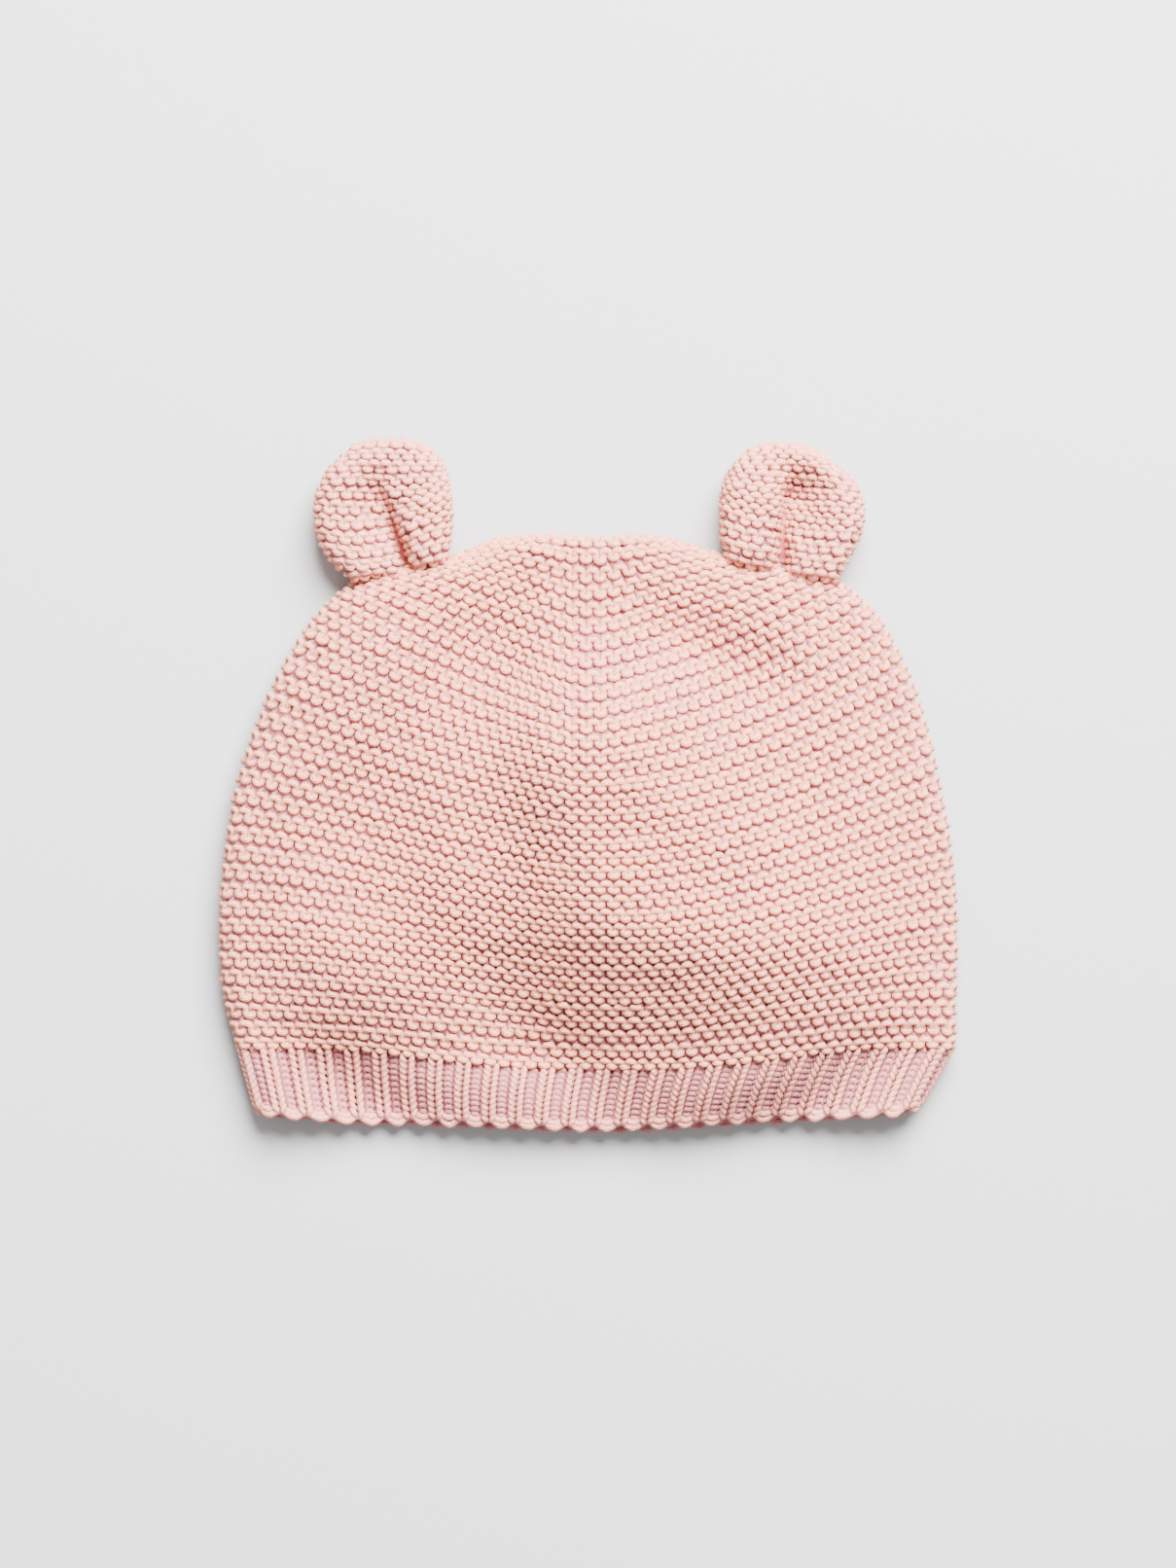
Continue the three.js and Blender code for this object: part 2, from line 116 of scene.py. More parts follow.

# Hollows and swellings of the front, after the light and shade in the photo: most rows are rounded from a fit
# to that shading, and the others were changed. Columns: place across and up as shares of half the
# width and of the height, spread along and across as shares of half the width, turn in degrees, rise as a
# share of the puff.
FRONT_FORMS = {
    "hollow at the left end of the band": (-0.75, -0.01, 0.22, 0.07, -25, -0.65),
    "hollow at the right end of the band": (0.75, -0.03, 0.35, 0.07, 25, -0.65),
    "hollow above the band at the left": (-0.33, 0.23, 0.4, 0.11, -10, -0.4),
    "dip above the middle of the band": (-0.1, 0.03, 0.23, 0.08, -40, -0.25),
    "swelling above the band at the right": (0.4, 0.1, 0.4, 0.2, -30, 0.5),
    "hollow on the left": (-0.6, 0.43, 0.2, 0.15, -25, -0.5),
    "trough left of the middle": (-0.23, 0.67, 0.4, 0.1, -85, -0.5),
    "swelling right of the trough": (-0.16, 0.57, 0.12, 0.2, 30, 0.5),
    "crest in the upper middle": (0.0, 0.65, 0.15, 0.15, -60, 0.5),
    "ridge that runs down to the right": (0.2, 0.5, 0.25, 0.07, -40, 0.1),
    "fold that runs down from the left ear": (-0.45, 0.68, 0.4, 0.13, 55, -0.5),
    "fold that runs down from the right ear": (0.35, 0.78, 0.35, 0.12, -55, -0.45),
    "crease under the right ear": (0.32, 0.8, 0.2, 0.07, -25, -0.45),
    "sunken top": (0.0, 0.78, 0.4, 0.25, 15, -0.5),
}


def bell(distance: np.ndarray) -> np.ndarray:
    """Returns the height of a bell curve at distances given in its own widths."""
    return np.exp(-0.5 * distance * distance)


def read_smoothly(table: np.ndarray, share: np.ndarray) -> np.ndarray:
    """Reads a table of evenly spaced rows as a smooth curve through them.

    Args:
        table: one row of values for each step.
        share: where to read, from 0 at the first row to 1 at the last.

    Returns:
        The values there, one row for each share.
    """
    last = len(table) - 1
    place = np.clip(share, 0.0, 1.0) * last
    index = np.minimum(last - 1, np.floor(place).astype(int))
    t = (place - index)[..., None]
    a, b, c, d = (table[np.clip(index + k, 0, last)] for k in (-1, 0, 1, 2))
    return b + 0.5 * ((c - a) * t + (2 * a - 5 * b + 4 * c - d) * t**2 + (3 * b - a - 3 * c + d) * t**3)


def cubic_at(heights: np.ndarray, t: np.ndarray) -> np.ndarray:
    """Reads the cubic through four heights, which are at 0, a quarter, a half and the whole of the way.

    Args:
        heights: the four heights in its last axis.
        t: where to read, as a share of the way.

    Returns:
        The heights there.
    """
    spots = (0.0, 0.25, 0.5, 1.0)
    total = np.zeros_like(t)
    for i, spot in enumerate(spots):
        weight = heights[..., i]
        for j, other in enumerate(spots):
            if j != i:
                weight = weight * (t - other) / (spot - other)
        total = total + weight
    return total


@dataclass
class Pouch:
    """A flat knitted pouch, from its open mouth or sewn base to its closed end.

    Places on it are given by up, from 0 at the mouth to 1 at the closed end, and by side, from -1 at the
    left fold to 1 at the right fold.

    Attributes:
        fold_radius: radius of the round where its upper skin turns into its lower one.
    """

    fold_radius: float

    def plan(self, up: np.ndarray, side: np.ndarray) -> tuple[np.ndarray, np.ndarray]:
        """Returns the plan position of places on the pouch."""
        raise NotImplementedError

    def heights(self, x: np.ndarray, y: np.ndarray, inside: np.ndarray) -> tuple[np.ndarray, np.ndarray]:
        """Returns the heights of the upper and the lower skin at places so far inside the fold."""
        raise NotImplementedError

    def border(self) -> list[tuple[np.ndarray, np.ndarray]]:
        """Follows the line where the upper skin turns into the lower one.

        Returns:
            The up and side values of the stretches of that line, in order.
        """
        up = np.linspace(0.0, 1.0, FOLD_POINTS)
        across = np.linspace(-1.0, 1.0, CLOSING_POINTS)
        left, right = np.full(FOLD_POINTS, -1.0), np.ones(FOLD_POINTS)
        return [(up, left), (np.ones(CLOSING_POINTS), across), (up[::-1], right)]

    def inside(self, x: np.ndarray, y: np.ndarray) -> np.ndarray:
        """Measures how far inside the border places lie in plan.

        Args:
            x, y: the places.

        Returns:
            The distance from each to the nearest point of the border.
        """
        line = np.concatenate([np.stack(self.plan(up, side), 1) for up, side in self.border()])
        best = np.full(x.shape, np.inf)
        for a, b in zip(line[:-1], line[1:]):
            step = b - a
            length2 = float(step @ step) or 1.0
            t = np.clip(((x - a[0]) * step[0] + (y - a[1]) * step[1]) / length2, 0.0, 1.0)
            best = np.minimum(best, (x - a[0] - t * step[0]) ** 2 + (y - a[1] - t * step[1]) ** 2)
        return np.sqrt(best)

    def skin(self, up: np.ndarray, columns: int) -> np.ndarray:
        """Makes the outer skin as rings of points.

        Args:
            up: the share of the way up of each ring.
            columns: points round each ring, crowded towards the folds, from the left fold over the
                front to the right fold and back underneath.

        Returns:
            An array of points, one ring after another.
        """
        half = columns // 2
        quarter = 0.5 * math.pi * FOLD_CROWDING
        side = np.clip(np.sin(np.linspace(-quarter, quarter, half + 1)) / math.sin(quarter), -1.0, 1.0)
        grid_up, grid_side = np.meshgrid(up, side, indexing="ij")
        x, y = self.plan(grid_up, grid_side)
        inside = self.inside(x, y)
        inside[(np.abs(grid_side) >= 1.0) | (grid_up >= 1.0)] = 0.0
        upper, lower = self.heights(x, y, inside)
        front = np.stack([x, y, upper], -1)
        back = np.stack([x, y, lower], -1)[:, 1:-1][:, ::-1]
        return np.concatenate([front, back], 1)


@dataclass
class Crown(Pouch):
    """The body of the hat: a pouch whose back lies flat on the floor and whose front is puffed up.

    Its rows go on below its mouth, down to the cast-on edge of the band at up = -1.

    Attributes:
        half_width, height: half of its width, and its height from the band to the closing.
        base: where it meets the band, up the hat.
        row_turn: how gently a row turns at the middle of the front.
        band_depth: depth of the band below it.
        puff: how far its front is puffed up.
        shoulder, shoulder_bells: how far in from the fold the puff comes up, and the widths of the bell
            curve that it follows there.
        brim_drop: how much lower the front lies at the brim.
        brim_ease: how far up from the brim it takes to rise from that.
        lip: how much lower still the cast-on edge lies.
    """

    fold_radius: float = 6.0
    half_width: float = 95.0
    height: float = 137.0
    base: float = -72.8
    row_turn: float = 5.0
    band_depth: float = 16.0
    puff: float = 15.5
    shoulder: float = 30.0
    shoulder_bells: float = 1.6
    brim_drop: float = 15.0
    brim_ease: float = 38.0
    lip: float = 3.0

    def on_row(self, row: np.ndarray, side: np.ndarray, base: float,
               rise: float) -> tuple[np.ndarray, np.ndarray]:
        """Finds places on a row.

        Args:
            row: the row's values, in the columns of CROWN_ROWS.
            side: how far across each place is.
            base: what the row's heights are counted from.
            rise: what they are shares of.

        Returns:
            The plan position of the places.
        """
        left = side < 0
        reach = np.where(left, row[..., 0], row[..., 1]) * self.half_width
        run = np.abs(side) * reach
        t = (np.hypot(run, self.row_turn) - self.row_turn) / (np.hypot(reach, self.row_turn) - self.row_turn)
        heights = np.where(left[..., None], row[..., [5, 4, 3, 2]], row[..., [5, 6, 7, 8]])
        return np.sign(side) * run, base + cubic_at(heights, t) * rise

    def plan(self, up: np.ndarray, side: np.ndarray) -> tuple[np.ndarray, np.ndarray]:
        """Finds places on the crown, or on the band where up is below 0.

        Args:
            up, side: the places on the pouch.

        Returns:
            Their plan position.
        """
        x, y = self.on_row(read_smoothly(np.array(CROWN_ROWS), up), side, self.base, self.height)
        edge_row = np.broadcast_to(np.array(CAST_ON_ROW), (*np.shape(side), len(CAST_ON_ROW)))
        edge_x, edge_y = self.on_row(edge_row, side, self.base - self.band_depth, self.band_depth)
        down = np.maximum(-up, 0.0)
        return x + (edge_x - x) * down, y + (edge_y - y) * down

    def border(self) -> list[tuple[np.ndarray, np.ndarray]]:
        """Follows the fold round the crown, with the two ends of the band.

        Returns:
            The up and side values of its stretches, in order.
        """
        up = np.linspace(*BAND_END, BAND_END_POINTS)
        left, right = np.full(BAND_END_POINTS, -1.0), np.ones(BAND_END_POINTS)
        return [(up, left), *super().border(), (up[::-1], right)]

    def heights(self, x: np.ndarray, y: np.ndarray, inside: np.ndarray) -> tuple[np.ndarray, np.ndarray]:
        """Finds the heights of the puffed front, with its hollows and swellings, and of the flat back.

        Args:
            x, y: places in plan.
            inside: how far inside the fold each is.

        Returns:
            The heights of the upper and of the lower skin there.
        """
        forms = np.zeros_like(x)
        for across, up, along, wide, turn, rise in FRONT_FORMS.values():
            dx = x - across * self.half_width
            dy = y - self.base - up * self.height
            angle = math.radians(turn)
            a = (dx * math.cos(angle) + dy * math.sin(angle)) / (along * self.half_width)
            b = (dy * math.cos(angle) - dx * math.sin(angle)) / (wide * self.half_width)
            forms += rise * bell(np.hypot(a, b))
        rise = np.clip((y - self.base) / self.brim_ease, 0.0, 1.0)
        brim = self.brim_drop * (1 - rise * rise * (3 - 2 * rise))
        brim += self.lip * np.clip((self.base - y) / self.band_depth, 0.0, 1.0) ** 2
        shoulder = 1 - bell(inside / self.shoulder * self.shoulder_bells)
        bulge = np.sqrt(1 - (1 - np.clip(inside / self.fold_radius, 0.0, 1.0)) ** 2)
        upper = self.fold_radius * (1 + bulge) + shoulder * (self.puff * (1 + forms) - brim)
        return upper, self.fold_radius * (1 - bulge)


@dataclass
class Crease:
    """The fold down an ear, from an open cup near its tip to the slit between its lobes at its base.

    Attributes:
        top, base: its two ends in plan.
        inward: 1 if the middle of the hat lies to its right, -1 if to its left.
        depth: how deep it is at the base.
        cup_share: its depth at the top, as a share of that.
        gentle: its width towards the outer lobe at the top.
        slit: how far the lobes stand apart on either side of it at the base.
        lobe: the distance over which a lobe rounds down to it.
    """

    top: tuple
    base: tuple
    inward: float
    depth: float = 11.0
    cup_share: float = 0.6
    gentle: float = 4.8
    slit: float = 0.7
    lobe: float = 4.2

    def at(self, x: np.ndarray, y: np.ndarray) -> np.ndarray:
        """Finds how deep the crease is.

        Args:
            x, y: places in plan.

        Returns:
            Its depth there, which is nothing away from it.
        """
        run = np.array(self.base) - np.array(self.top)
        dx, dy = x - self.top[0], y - self.top[1]
        t = np.clip((dx * run[0] + dy * run[1]) / (run @ run), 0.0, 1.0)
        off_x, off_y = dx - t * run[0], dy - t * run[1]
        off = np.hypot(off_x, off_y)
        turned = (off_x * run[1] - off_y * run[0]) / (math.hypot(*run) * off + TINY)
        outer = 0.5 + 0.5 * self.inward * turned
        fall = np.clip((off - self.slit * t) / self.lobe, 0.0, 1.0)
        lobe = 1 - np.sqrt(1 - (1 - fall) ** 2)
        cup = lobe + (bell(off / self.gentle) - lobe) * outer
        depth = self.depth * (self.cup_share + (1 - self.cup_share) * t)
        return depth * (cup + (lobe - cup) * t)


@dataclass
class EarPouch(Pouch):
    """A padded ear: a small pouch stuffed with its own double layer and creased where it is sewn on.

    Attributes:
        rows: its rows from the sewn base to the closed tip.
        crease: the crease in its upper skin.
        thickness: how thick it is in the middle.
        plumpness: how steeply it rises from its rim, where 2 is round and more is fuller.
    """

    rows: tuple
    crease: Crease
    thickness: float = 15.0
    plumpness: float = 2.4

    def plan(self, up: np.ndarray, side: np.ndarray) -> tuple[np.ndarray, np.ndarray]:
        """Finds places on the ear.

        Args:
            up, side: the places on the pouch.

        Returns:
            Their plan position.
        """
        rows = np.array(self.rows)
        if rows[0, 0, 0] > rows[0, -1, 0]:
            rows = rows[:, ::-1]
        row = read_smoothly(rows.reshape(len(rows), -1), up)
        place = np.moveaxis(row.reshape(*np.shape(up), -1, 2), -2, 0)
        last = len(place) - 1
        spot = (np.clip(side, -1.0, 1.0) + 1) / 2 * last
        index = np.minimum(last - 1, np.floor(spot).astype(int))
        t = (spot - index)[..., None]

        def near(shift: int) -> np.ndarray:
            """Returns the control place so many steps on from each index."""
            chosen = np.clip(index + shift, 0, last)
            return np.take_along_axis(place, chosen[None, ..., None], 0)[0]

        a, b, c, d = near(-1), near(0), near(1), near(2)
        spline = b + 0.5 * ((c - a) * t + (2 * a - 5 * b + 4 * c - d) * t**2 + (3 * b - a - 3 * c + d) * t**3)
        return spline[..., 0], spline[..., 1]

    def border(self) -> list[tuple[np.ndarray, np.ndarray]]:
        """Returns the rim, closed along the sewn base."""
        across = np.linspace(1.0, -1.0, CLOSING_POINTS)
        return [*super().border(), (np.zeros(CLOSING_POINTS), across)]

    def heights(self, x: np.ndarray, y: np.ndarray, inside: np.ndarray) -> tuple[np.ndarray, np.ndarray]:
        """Finds the heights of the creased upper skin and the cushioned lower skin.

        Args:
            x, y: places in plan.
            inside: how far inside the rim each is.

        Returns:
            The heights of the upper and of the lower skin there.
        """
        half = 0.5 * self.thickness
        reach = np.clip(inside / self.fold_radius, 0.0, 1.0)
        plump = (1 - (1 - reach) ** self.plumpness) ** (1 / self.plumpness)
        return half * (1 + plump) - plump * self.crease.at(x, y), half * (1 - plump)


def outward_of(rings: np.ndarray) -> np.ndarray:
    """Finds which way a skin faces.

    Args:
        rings: a grid of points, as rings that go up the cloth.

    Returns:
        The outward direction at each point.
    """
    onward = np.roll(rings, -1, 1) - np.roll(rings, 1, 1)
    out = np.cross(onward, np.gradient(rings, axis=0))
    out = out + np.roll(out, 1, 1) + np.roll(out, -1, 1)
    return out / (np.linalg.norm(out, axis=-1, keepdims=True) + TINY)


def folded_over(rings: np.ndarray) -> np.ndarray:
    """Turns rings over, front to back, as they are seen from beyond the closing."""
    columns = rings.shape[1]
    return rings[:, (columns - np.arange(columns)) % columns]


@dataclass
class Cloth:
    """The middle of the knitting of a pouch, read anywhere between the rings that it is made of.

    Attributes:
        points, outward: the places and outward directions on the rings.
        first: where the first ring lies, counted in rounds of knitting.
        per_round: rings to each round.
    """

    points: np.ndarray
    outward: np.ndarray
    first: float
    per_round: int

    @classmethod
    def of(cls, pouch: Pouch, start: float, end: float, rounds: int, depth: float,
           columns: int = 720, lead: int = 1, per_round: int = 4) -> "Cloth":
        """Makes the cloth of a pouch between two shares of the way up.

        Args:
            pouch: the pouch.
            start, end: the shares; an end of 1 is closed, and the cloth goes on over it to the back.
            rounds: rounds of knitting between them.
            depth: how far below the outer skin the middle of the cloth lies.
            columns: points round each ring.
            lead: rounds that the cloth goes on for below the start.
            per_round: rings to each round.

        Returns:
            The cloth.
        """
        step = (end - start) / (rounds * per_round)
        up = start + step * np.arange(-lead * per_round, rounds * per_round + 1)
        skin = pouch.skin(up, columns)
        if end >= 1:
            skin = np.concatenate([skin, folded_over(skin[-2:-per_round - 2:-1])])
        outward = outward_of(skin)
        return cls(skin - outward * depth, outward, (up[0] - start) / step / per_round, per_round)

    def read(self, place: np.ndarray, column: np.ndarray) -> tuple[np.ndarray, np.ndarray]:
        """Reads the cloth between the points of its rings.

        Args:
            place: how far up each place is, in rounds.
            column: how far round each place is, in columns.

        Returns:
            The points and the outward directions there.
        """
        rings, columns = self.points.shape[:2]
        row = np.clip((place - self.first) * self.per_round, 0.0, rings - 1 - SHORT_OF_LAST)
        column = np.mod(column, columns)
        r, c = np.floor(row).astype(int), np.floor(column).astype(int) % columns
        s, t = (row - r)[..., None], (column - np.floor(column))[..., None]
        beside = (c + 1) % columns

        def blend(grid: np.ndarray) -> np.ndarray:
            """Blends a grid's values at its four nearest points.

            Args:
                grid: the values at each point of the rings.

            Returns:
                The values at the places that are read.
            """
            low = grid[r, c] * (1 - t) + grid[r, beside] * t
            high = grid[r + 1, c] * (1 - t) + grid[r + 1, beside] * t
            return low * (1 - s) + high * s

        return blend(self.points), blend(self.outward)

    def line(self, place: float) -> tuple[np.ndarray, np.ndarray]:
        """Follows the cloth round at one height.

        Args:
            place: how far up, in rounds.

        Returns:
            The points on the way round, and the length from the first to each.
        """
        columns = np.arange(self.points.shape[1] + 1.0)
        points = self.read(np.full(len(columns), place), columns)[0]
        steps = np.linalg.norm(np.diff(points, axis=0), axis=1)
        return points, np.concatenate([[0.0], np.cumsum(steps)])


def share_out(length: float, width: float, easing: int = 3) -> np.ndarray:
    """Divides a stretch of a round into stitches.

    Args:
        length: the stretch.
        width: the usual stitch width.
        easing: how many stitches at the end of the stretch share what is left over.

    Returns:
        The stitch widths.
    """
    count = max(1, round(length / width))
    plain = max(0, count - easing)
    widths = np.full(count, width)
    widths[plain:] = (length - plain * width) / (count - plain)
    return widths


@dataclass
class MeshParts:
    """Vertices, four-sided faces and yarn coordinates of many tubes, joined into one mesh."""

    points: list = field(default_factory=list)
    faces: list = field(default_factory=list)
    coordinates: list = field(default_factory=list)
    levels: list = field(default_factory=list)
    count: int = 0

    def add(self, points: np.ndarray, faces: np.ndarray, coordinates: np.ndarray, levels: np.ndarray) -> None:
        """Adds one body.

        Args:
            points: its points.
            faces: its faces, as rows of four.
            coordinates: a pair of values for each corner of a face.
            levels: how far out in the cloth each point lies, from 0 to 1.
        """
        self.points.append(points)
        self.faces.append(faces + self.count)
        self.coordinates.append(coordinates)
        self.levels.append(levels)
        self.count += len(points)

    def build(self, name: str, material: bpy.types.Material) -> bpy.types.Object:
        """Makes the mesh object.

        Args:
            name: its name.
            material: its material.

        Returns:
            The object, linked to the scene.
        """
        points = np.concatenate(self.points) * MM
        faces = np.concatenate(self.faces)
        mesh = bpy.data.meshes.new(name)
        mesh.vertices.add(len(points))
        mesh.vertices.foreach_set("co", points.astype(np.float32).ravel())
        mesh.loops.add(faces.size)
        mesh.loops.foreach_set("vertex_index", faces.astype(np.int32).ravel())
        mesh.polygons.add(len(faces))
        mesh.polygons.foreach_set("loop_start", np.arange(0, faces.size, 4, dtype=np.int32))
        mesh.polygons.foreach_set("use_smooth", np.ones(len(faces), dtype=bool))
        layer = mesh.uv_layers.new(name="yarn")
        layer.data.foreach_set("uv", np.concatenate(self.coordinates).astype(np.float32).ravel())
        # The level of each point, which the yarn's painted shade follows.
        level = mesh.attributes.new("level", "FLOAT", "POINT")
        level.data.foreach_set("value", np.concatenate(self.levels).astype(np.float32))
        mesh.update(calc_edges=True)
        mesh.validate()
        mesh.shade_smooth()
        mesh.materials.append(material)
        obj = bpy.data.objects.new(name, mesh)
        bpy.context.scene.collection.objects.link(obj)
        return obj


def add_yarn(parts: MeshParts, path: np.ndarray, outward: np.ndarray, radius: np.ndarray, level: np.ndarray,
             sides: int) -> None:
    """Adds a closed yarn to a mesh as a round tube.

    Args:
        parts: the mesh that takes it.
        path: points along the yarn, which ends where it starts; they are kept above the floor.
        outward: which way the cloth faces at each point.
        radius: the yarn's radius at each point.
        level: how far out in the cloth each point lies, from 0 to 1.
        sides: faces round the yarn.
    """
    path[:, 2] = np.maximum(path[:, 2], radius)
    onward = np.roll(path, -1, 0) - np.roll(path, 1, 0)
    onward /= np.linalg.norm(onward, axis=1, keepdims=True) + TINY
    across = np.cross(outward, onward)
    across /= np.linalg.norm(across, axis=1, keepdims=True) + TINY
    lift = np.cross(onward, across)
    angle = np.arange(sides) * 2 * math.pi / sides
    ring = across[:, None] * np.cos(angle)[None, :, None] + lift[:, None] * np.sin(angle)[None, :, None]
    points = (path[:, None] + ring * radius[:, None, None]).reshape(-1, 3)
    count = len(path)
    step = np.arange(count)[:, None]
    side = np.arange(sides)[None, :]
    following = (step + 1) % count
    beside = (side + 1) % sides
    faces = np.stack([
        np.broadcast_to(step * sides + side, (count, sides)),
        np.broadcast_to(step * sides + beside, (count, sides)),
        following * sides + beside,
        following * sides + side,
    ], -1).reshape(-1, 4)
    run = np.concatenate([[0.0], np.cumsum(np.linalg.norm(np.roll(path, -1, 0) - path, axis=1))])
    here = np.broadcast_to(run[:-1, None], (count, sides))
    there = np.broadcast_to(run[1:, None], (count, sides))
    low = np.broadcast_to(side / sides, (count, sides))
    high = low + 1 / sides
    pairs = np.stack([here, low, here, high, there, high, there, low], -1).reshape(-1, 2)
    parts.add(points, faces, pairs, np.repeat(level, sides))


class Round(Enum):
    """The two rounds of a ridge, each with the way that its outer loops bow: down or up the cloth."""

    KNIT = -1.0
    PURL = 1.0


@dataclass
class Garter:
    """Garter stitch: each ridge is a knit round and a purl round whose loops interlock.

    Attributes:
        stitch: stitch width.
        radius: yarn radius.
        half_depth: how far the loops stand before and behind the middle of the cloth.
        gap: from the top of a ridge's upper loops to the foot of its lower ones, in ridges.
        flatness: how much flatter than a plain wave its loops are at their tops.
        roundness: how much a loop bows out, as a share of the stitch width.
        knit_spread, purl_spread: how much wider its outer half is than its inner half, as such a share.
        unevenness: how far a hand-laid loop strays out of the cloth.
        sway_share, swell_share: how much of such a stray goes up the cloth, and into the yarn's radius.
        front_steps, back_steps: points along each stitch on the seen and on the lying side.
        crowding: how far those points draw together at the outer end of a loop, as a share of the stitch.
        sides: faces round the yarn.
        bind_off: how far short of the closing the bound-off round lies, in ridges.
    """

    stitch: float = 3.5
    radius: float = 0.9
    half_depth: float = 1.0
    gap: float = 0.52
    flatness: float = 0.6
    roundness: float = 0.08
    knit_spread: float = 0.075
    purl_spread: float = 0.03
    unevenness: float = 0.13
    sway_share: float = 0.2
    swell_share: float = 0.5
    front_steps: int = 11
    back_steps: int = 6
    crowding: float = 0.07
    sides: int = 6
    bind_off: float = 0.34

    def marks(self, cloth: Cloth, place: float, band: float, middle: float) -> tuple[np.ndarray, float]:
        """Finds where the stitches of a round meet.

        Args:
            cloth: the cloth.
            place: where the round is, up the cloth.
            band: width of the column of straight stitches at the middle, or 0.
            middle: where the middle of that column is, across the hat.

        Returns:
            Distances along the round, from 0 to its whole length, and the distance to its right fold.
        """
        points, lengths = cloth.line(place)
        total = lengths[-1]
        half = len(points) // 2
        fold = lengths[half]
        if not band:
            front = max(2, round(fold / self.stitch))
            back = max(2, round((total - fold) / self.stitch))
            return np.concatenate([np.arange(front) * fold / front,
                                   np.linspace(fold, total, back + 1)]), fold
        across = points[:, 0]
        edges = np.array([middle - band / 2, middle + band / 2])
        front_edges = np.interp(edges, across[: half + 1], lengths[: half + 1])
        back_edges = np.interp(-edges[::-1], -across[half:], lengths[half:])
        columns = round(band / self.stitch)
        widths = np.concatenate([
            share_out(front_edges[0], self.stitch),
            np.full(columns, (front_edges[1] - front_edges[0]) / columns),
            share_out(fold - front_edges[1], self.stitch)[::-1],
            share_out(back_edges[0] - fold, self.stitch),
            np.full(columns, (back_edges[1] - back_edges[0]) / columns),
            share_out(total - back_edges[1], self.stitch)[::-1],
        ])
        return np.concatenate([[0.0], np.cumsum(widths)]), fold

    def ridge(self, parts: MeshParts, cloth: Cloth, place: float, column: tuple[float, float],
              rng: np.random.Generator, rounds: tuple[Round, ...] = tuple(Round)) -> None:
        """Adds the yarns of one ridge to a mesh.

        Args:
            parts: the mesh that takes them.
            cloth: the cloth.
            place: where the middle of the ridge is, counted in ridges up the cloth.
            column: width and middle of the column of straight stitches, or zeros.
            rng: the seeded source of unevenness.
            rounds: which of its rounds to knit.
        """
        marks, fold = self.marks(cloth, place, *column)
        count = len(marks) - 1
        steps = np.where(marks[:-1] < fold - SAME_PLACE, self.front_steps, self.back_steps)
        share = np.concatenate([np.arange(n) / n for n in steps])
        lengths = cloth.line(place)[1]
        for kind in rounds:
            sign, spread = kind.value, self.knit_spread if kind is Round.KNIT else self.purl_spread
            crowded = share - sign * self.crowding * np.sin(2 * math.pi * share)
            loop = np.repeat(np.arange(count), steps) + crowded
            turn = 2 * math.pi * loop
            stray = rng.normal(0.0, self.unevenness, (3, count + 1))
            stray[:, -1] = stray[:, 0]
            rise, sway, swell = (np.interp(loop, np.arange(count + 1), row) for row in stray)
            bent = loop + self.roundness * np.sin(2 * turn) + sign * spread * np.sin(turn)
            distance = np.interp(bent, np.arange(count + 1), marks)
            column = np.interp(distance, lengths, np.arange(len(lengths)))
            swing = np.cos(turn) * (1 + self.flatness * np.sin(turn) ** 2)
            along = sign * (0.5 - self.gap / 2) - 0.5 * swing + self.sway_share * sway
            middle, outward = cloth.read(place + along, column)
            depth = sign * self.half_depth * np.cos(turn) + rise
            path = middle + outward * depth[:, None]
            # Loops deeper in the cloth get a lower level, and with it more painted shade.
            level = 0.5 + 0.5 * sign * np.cos(turn)
            radius = self.radius * (1 + self.swell_share * swell)
            add_yarn(parts, path, outward, radius, level, self.sides)

    def close(self, parts: MeshParts, cloth: Cloth, ridges: int, column: tuple[float, float],
              rng: np.random.Generator) -> None:
        """Adds the bound-off round, whose front and back lie side by side along the closing."""
        self.ridge(parts, cloth, ridges - self.bind_off, column, rng, (Round.KNIT,))


